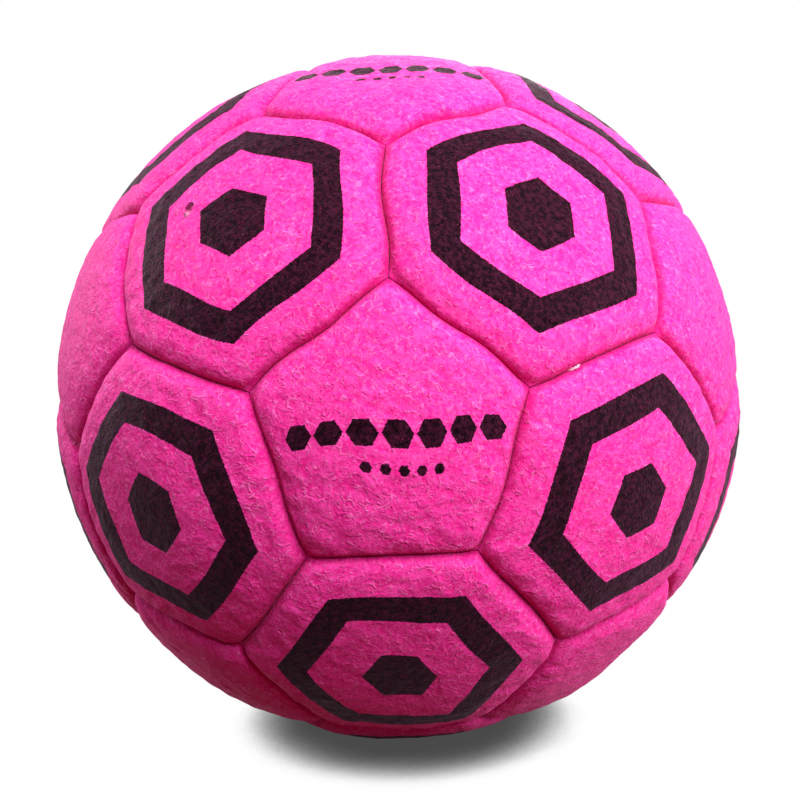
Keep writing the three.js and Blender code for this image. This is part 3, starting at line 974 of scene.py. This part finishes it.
def layer_depth(distance, under, cap):
    """Depth of a layer that lies under the felt and dips below its turned-in edges, softly bent."""
    _, tip, root = edge_section()
    slope = (tip[1] - root[1]) / (root[0] - tip[0])
    lean = math.atan(slope)
    bend = root[0] + under * (1 - math.sin(lean)) / math.cos(lean)
    inside = np.hypot(distance, LAYER_CREASE)
    rise = slope * BEND_SOFTNESS * np.log1p(np.exp((bend - inside) / BEND_SOFTNESS))
    share = np.clip(distance / bend, 0, 1)
    return FELT_THICKNESS + under + rise + (cap - under) * share ** 2 * (3 - 2 * share)


def layer_part(panel, outer, inner):
    """Points and faces of both surfaces of a layer under one panel, in the panel's frame."""
    valve = panel.name == VALVE_PANEL
    if valve:
        hole = STEM_HOLE * BALL_RADIUS / (BALL_RADIUS - FELT_THICKNESS - inner[1])
        out, triangles = hole_grid(panel.shape, hole, LAYER_ROWS, LAYER_ROWS, 0)
    else:
        out, triangles = fan_grid(panel.shape, LAYER_ROWS, 0)
    distance = seam_distance(panel.shape, out).min(axis=1)
    surfaces = []
    for under, at_valve in (outer, inner):
        depth = layer_depth(distance, under, at_valve if valve else under)
        surfaces.append(out * (BALL_RADIUS - depth)[:, None])
    faces = [triangles, triangles[:, ::-1] + len(out)]
    if valve:
        faces.append(band(len(out), 0, LAYER_ROWS * panel.shape.sides))
    return np.concatenate(surfaces), np.concatenate(faces)


def hollow_layer(name, panels, outer, inner):
    """A closed hollow layer, open where the valve's stem comes out. outer and inner each give how far the
    surface lies under the felt, and how far at the valve."""
    parts = [layer_part(panel, outer, inner) for panel in panels]
    placed = [(points @ panel.turn.T, faces) for panel, (points, faces) in zip(panels, parts)]
    points, faces = joined(placed)
    points, faces, whole = welded(wandered(points), faces)
    made = new_mesh(name, (points + BALL_CENTRE) * MM, faces)
    places = np.concatenate([weave_place(*part) for part in parts])
    store(made, "weave_place", "FLOAT_VECTOR", places[np.repeat(whole, 3)], "CORNER")
    return made


def softened(corners):
    """A section whose corners, each given by radius, height and softness, are rounded."""
    spots = np.array([corner[:2] for corner in corners])
    share = np.linspace(0, 1, CORNER_STEPS + 1)[:, None]
    runs = []
    for i, (_, _, soft) in enumerate(corners):
        if soft:
            start = spots[i] + soft * unit(spots[i - 1] - spots[i])
            end = spots[i] + soft * unit(spots[(i + 1) % len(spots)] - spots[i])
            runs.append((1 - share) ** 2 * start + 2 * share * (1 - share) * spots[i] + share ** 2 * end)
        else:
            runs.append(spots[i:i + 1])
    return np.concatenate(runs)


def turned(name, section, turn):
    """A smooth piece turned about the valve's axis from a section that runs anticlockwise."""
    turns = 2 * math.pi * np.arange(TURNED_SIDES) / TURNED_SIDES
    points = np.concatenate([ring(radius, turns, height) for radius, height in section])
    faces = bands(0, TURNED_SIDES, len(section))
    if section[0, 0] > 0:
        faces = np.concatenate([faces, band(len(points) - TURNED_SIDES, 0, TURNED_SIDES)])
    points, faces, _ = welded(points, faces[:, ::-1])
    made = new_mesh(name, (points @ turn.T + BALL_CENTRE) * MM, faces)
    store(made, "weave_place", "FLOAT_VECTOR", weave_place(points, faces), "CORNER")
    return made


def curve_height(depth, radius):
    """Height of a layer at one depth under the felt, at one distance from the valve's axis."""
    return math.sqrt((BALL_RADIUS - FELT_THICKNESS - depth) ** 2 - radius ** 2)


def curved_run(depth, radii):
    """Sharp corners of a section along a layer at one depth under the felt."""
    return [(radius, curve_height(depth, radius), 0) for radius in radii]


def valve_patch_section():
    """Round patch of cloth between the lining and the bladder, curved as they are."""
    radii = np.linspace(STEM_HOLE, PATCH_RADIUS, PATCH_STEPS)
    return softened([
        *curved_run(PATCH_BACK, radii[:-1]),
        (PATCH_RADIUS, curve_height(PATCH_BACK, PATCH_RADIUS), PATCH_EDGE_SOFTNESS),
        (PATCH_RADIUS, curve_height(PATCH_FACE, PATCH_RADIUS), PATCH_EDGE_SOFTNESS),
        *curved_run(PATCH_FACE, radii[-2::-1]),
    ])


def valve_housing_section():
    """Stem through the layers, grooved flange bonded under the bladder, and tail round the core."""
    bore = CORE_SHAFT_RADIUS + CORE_CLEARANCE
    counterbore = CORE_HEAD_RADIUS + CORE_CLEARANCE
    head_seat = STEM_TOP - CORE_HEAD_THICKNESS - CORE_CLEARANCE
    tail_end = STEM_TOP - CORE_LENGTH - TAIL_OVERHANG
    flange_top = VALVE_BLADDER_BACK + LAYER_GAP
    flange_under = flange_top + FLANGE_THICKNESS
    under_radii = np.linspace(TAIL_RADIUS + TAIL_FILLET, FLANGE_RADIUS - FLANGE_RIM, FLANGE_STEPS)
    grooves = []
    for radius in np.linspace(FLANGE_RADIUS - FLANGE_RIM, STEM_RADIUS + STEM_FILLET, GROOVE_STEPS):
        drop = GROOVE_HEIGHT * (math.cos(2 * math.pi * radius / GROOVE_PITCH) - 1)
        grooves.append((radius, curve_height(flange_top, radius) + drop, 0))
    return softened([
        (bore, tail_end, 0.25),
        (TAIL_RADIUS, tail_end, 0.6),
        (TAIL_RADIUS, curve_height(flange_under, TAIL_RADIUS), 0.9),
        *curved_run(flange_under, under_radii),
        (FLANGE_RADIUS, curve_height(flange_under, FLANGE_RADIUS), 0.35),
        (FLANGE_RADIUS, curve_height(flange_top, FLANGE_RADIUS), 0.35),
        *grooves,
        (STEM_RADIUS, curve_height(flange_top, STEM_RADIUS), 0.6),
        (STEM_RADIUS, STEM_TOP, 0.3),
        (counterbore, STEM_TOP, 0.15),
        (counterbore, head_seat, 0.12),
        (bore, head_seat, 0.12),
    ])


def valve_core_section():
    """Headed plug with three ribs on its shaft, and a funnel and blind needle hole in its head."""
    bottom = STEM_TOP - CORE_LENGTH
    head_under = STEM_TOP - CORE_HEAD_THICKNESS
    ribs = []
    for share in RIB_SHARES:
        middle = bottom + share * (head_under - bottom)
        ribs.append((CORE_SHAFT_RADIUS, middle - RIB_HALF_WIDTH, 0))
        ribs.append((CORE_SHAFT_RADIUS + RIB_HEIGHT, middle, 0.3))
        ribs.append((CORE_SHAFT_RADIUS, middle + RIB_HALF_WIDTH, 0))
    return softened([
        (0, bottom, 0),
        (CORE_SHAFT_RADIUS, bottom, 0.4),
        *ribs,
        (CORE_SHAFT_RADIUS, head_under, 0.2),
        (CORE_HEAD_RADIUS, head_under, 0.2),
        (CORE_HEAD_RADIUS, STEM_TOP, 0.35),
        (FUNNEL_RADIUS, STEM_TOP, 0.2),
        (NEEDLE_RADIUS, STEM_TOP - FUNNEL_DEPTH, 0.2),
        (NEEDLE_RADIUS, STEM_TOP - NEEDLE_DEPTH, 0),
        (0, STEM_TOP - NEEDLE_DEPTH, 0),
    ])


def inner_pieces(panels):
    """The cloth lining, the bladder and the valve."""
    backing = cloth_material("backing_cloth", BACKING_TONES, BACKING_PITCH)
    patch = cloth_material("patch_cloth", PATCH_TONES, PATCH_PITCH)
    bladder = rubber_material("bladder_rubber", BLADDER_TONES, BLADDER_ROUGHNESS, BLADDER_TALC, True)
    housing = rubber_material("housing_rubber", HOUSING_TONES, HOUSING_ROUGHNESS)
    core = rubber_material("core_rubber", CORE_TONES, CORE_ROUGHNESS)
    made = hollow_layer("cloth_backing", panels, (LINING_FACE, LINING_FACE), (LINING_BACK, LINING_BACK))
    in_frame(made, "lining", backing)
    made = hollow_layer("rubber_bladder", panels, (BLADDER_FACE, VALVE_BLADDER_FACE),
                        (BLADDER_BACK, VALVE_BLADDER_BACK))
    in_frame(made, "bladder", bladder)
    turn = next(panel.turn for panel in panels if panel.name == VALVE_PANEL)
    for name, section, node, slot, material, body in (
        ("cloth_valve_patch", valve_patch_section(), "valve_patch", "patch", patch, "ball"),
        ("moulded_valve_housing", valve_housing_section(), "valve_housing", "valve", housing, "ball"),
        ("moulded_valve_core", valve_core_section(), "valve_core", "valve", core, "valve_core"),
    ):
        in_frame(turned(name, section, turn), node, material, body)


def camera():
    """The photograph's camera."""
    azimuth = math.radians(CAMERA_AZIMUTH)
    elevation = math.radians(CAMERA_ELEVATION)
    back = Vector((
        math.sin(azimuth) * math.cos(elevation),
        -math.cos(azimuth) * math.cos(elevation),
        math.sin(elevation),
    ))
    data = bpy.data.cameras.new("photo_camera")
    data.sensor_width = SENSOR
    data.lens = FOCAL_PIXELS * SENSOR / PHOTO_PIXELS
    data.shift_x = (PHOTO_PIXELS / 2 - PHOTO_CENTRE[0]) / PHOTO_PIXELS
    data.shift_y = (PHOTO_CENTRE[1] - PHOTO_PIXELS / 2) / PHOTO_PIXELS
    data.clip_start = CLIP_START
    made = bpy.data.objects.new("photo_camera", data)
    turn = back.to_track_quat("Z", "Y") @ Matrix.Rotation(math.radians(-CAMERA_ROLL), 3, "Z").to_quaternion()
    made.rotation_euler = turn.to_euler()
    made.location = Vector(BALL_CENTRE * MM) + back * CAMERA_DISTANCE
    bpy.context.scene.collection.objects.link(made)
    bpy.context.scene.camera = made


def background_ray(nodes):
    """1 for rays that show the background itself: straight from the camera, mirrored or through glass."""
    path = nodes.add("ShaderNodeLightPath").outputs
    mirrored = nodes.math("MAXIMUM", path["Is Glossy Ray"], path["Is Transmission Ray"])
    return nodes.math("MAXIMUM", path["Is Camera Ray"], mirrored)


def floor_material():
    """White with a soft shadow where the floor itself shows, and deep red for light that it throws back."""
    nodes = Nodes("floor_white")
    nodes.tree.nodes.remove(nodes.shader)
    occlusion = nodes.add("ShaderNodeAmbientOcclusion", {"Distance": SHADOW_REACH}, samples=SHADOW_SAMPLES)
    low, high = SHADOW_OPENING
    above = nodes.math("SUBTRACT", occlusion.outputs["AO"], low)
    opening = nodes.math("DIVIDE", above, high - low, clamp=True)
    shade = nodes.math("POWER", opening, SHADOW_CURVE)
    level = nodes.math("MULTIPLY_ADD", shade, 1 - SHADOW_LEVEL, SHADOW_LEVEL)
    bright = nodes.add("ShaderNodeEmission", inputs={"Color": WHITE, "Strength": level})
    plain = nodes.add("ShaderNodeBsdfDiffuse", inputs={"Color": FLOOR_BOUNCE})
    shown = nodes.add("ShaderNodeMixShader", inputs={
        0: background_ray(nodes), 1: plain.outputs[0], 2: bright.outputs[0],
    })
    nodes.put(nodes.output, "Surface", shown.outputs[0])
    return nodes.material


def floor():
    """The floor that the ball stands on."""
    half = FLOOR_HALF
    corners = np.array([(-half, -half, 0), (half, -half, 0), (half, half, 0), (-half, half, 0)])
    made = new_mesh("floor", corners, np.array([[0, 1, 2, 3]]))
    made.data.materials.append(floor_material())


def surround():
    """White where the surround itself shows, and a faint glow on the ball."""
    world = bpy.data.worlds.new("studio_world")
    bpy.context.scene.world = world
    world.use_nodes = True
    world.node_tree.nodes.clear()
    nodes = Nodes(tree=world.node_tree)
    shown = background_ray(nodes)
    background = nodes.add("ShaderNodeBackground", inputs={
        "Color": nodes.mix(shown, AMBIENT_TINT, WHITE),
        "Strength": nodes.ramp(shown, 0.0, 1.0, start=AMBIENT),
    })
    output = nodes.add("ShaderNodeOutputWorld")
    nodes.put(output, "Surface", background.outputs[0])


def lamps():
    """Square soft lamps that face the ball."""
    centre = Vector(BALL_CENTRE * MM)
    for name, (heading, size, level) in LAMPS.items():
        data = bpy.data.lights.new(name, "AREA")
        data.size = size
        data.energy = level * (math.pi * LAMP_DISTANCE) ** 2
        made = bpy.data.objects.new(name, data)
        made.location = centre + Vector(heading).normalized() * LAMP_DISTANCE
        made.rotation_euler = (made.location - centre).to_track_quat("Z", "Y").to_euler()
        bpy.context.scene.collection.objects.link(made)


bpy.context.scene.view_settings.view_transform = "Standard"
camera()
floor()
surround()
lamps()
all_panels = lay_out_panels()
cover(all_panels)
stitched_thread(all_panels)
inner_pieces(all_panels)
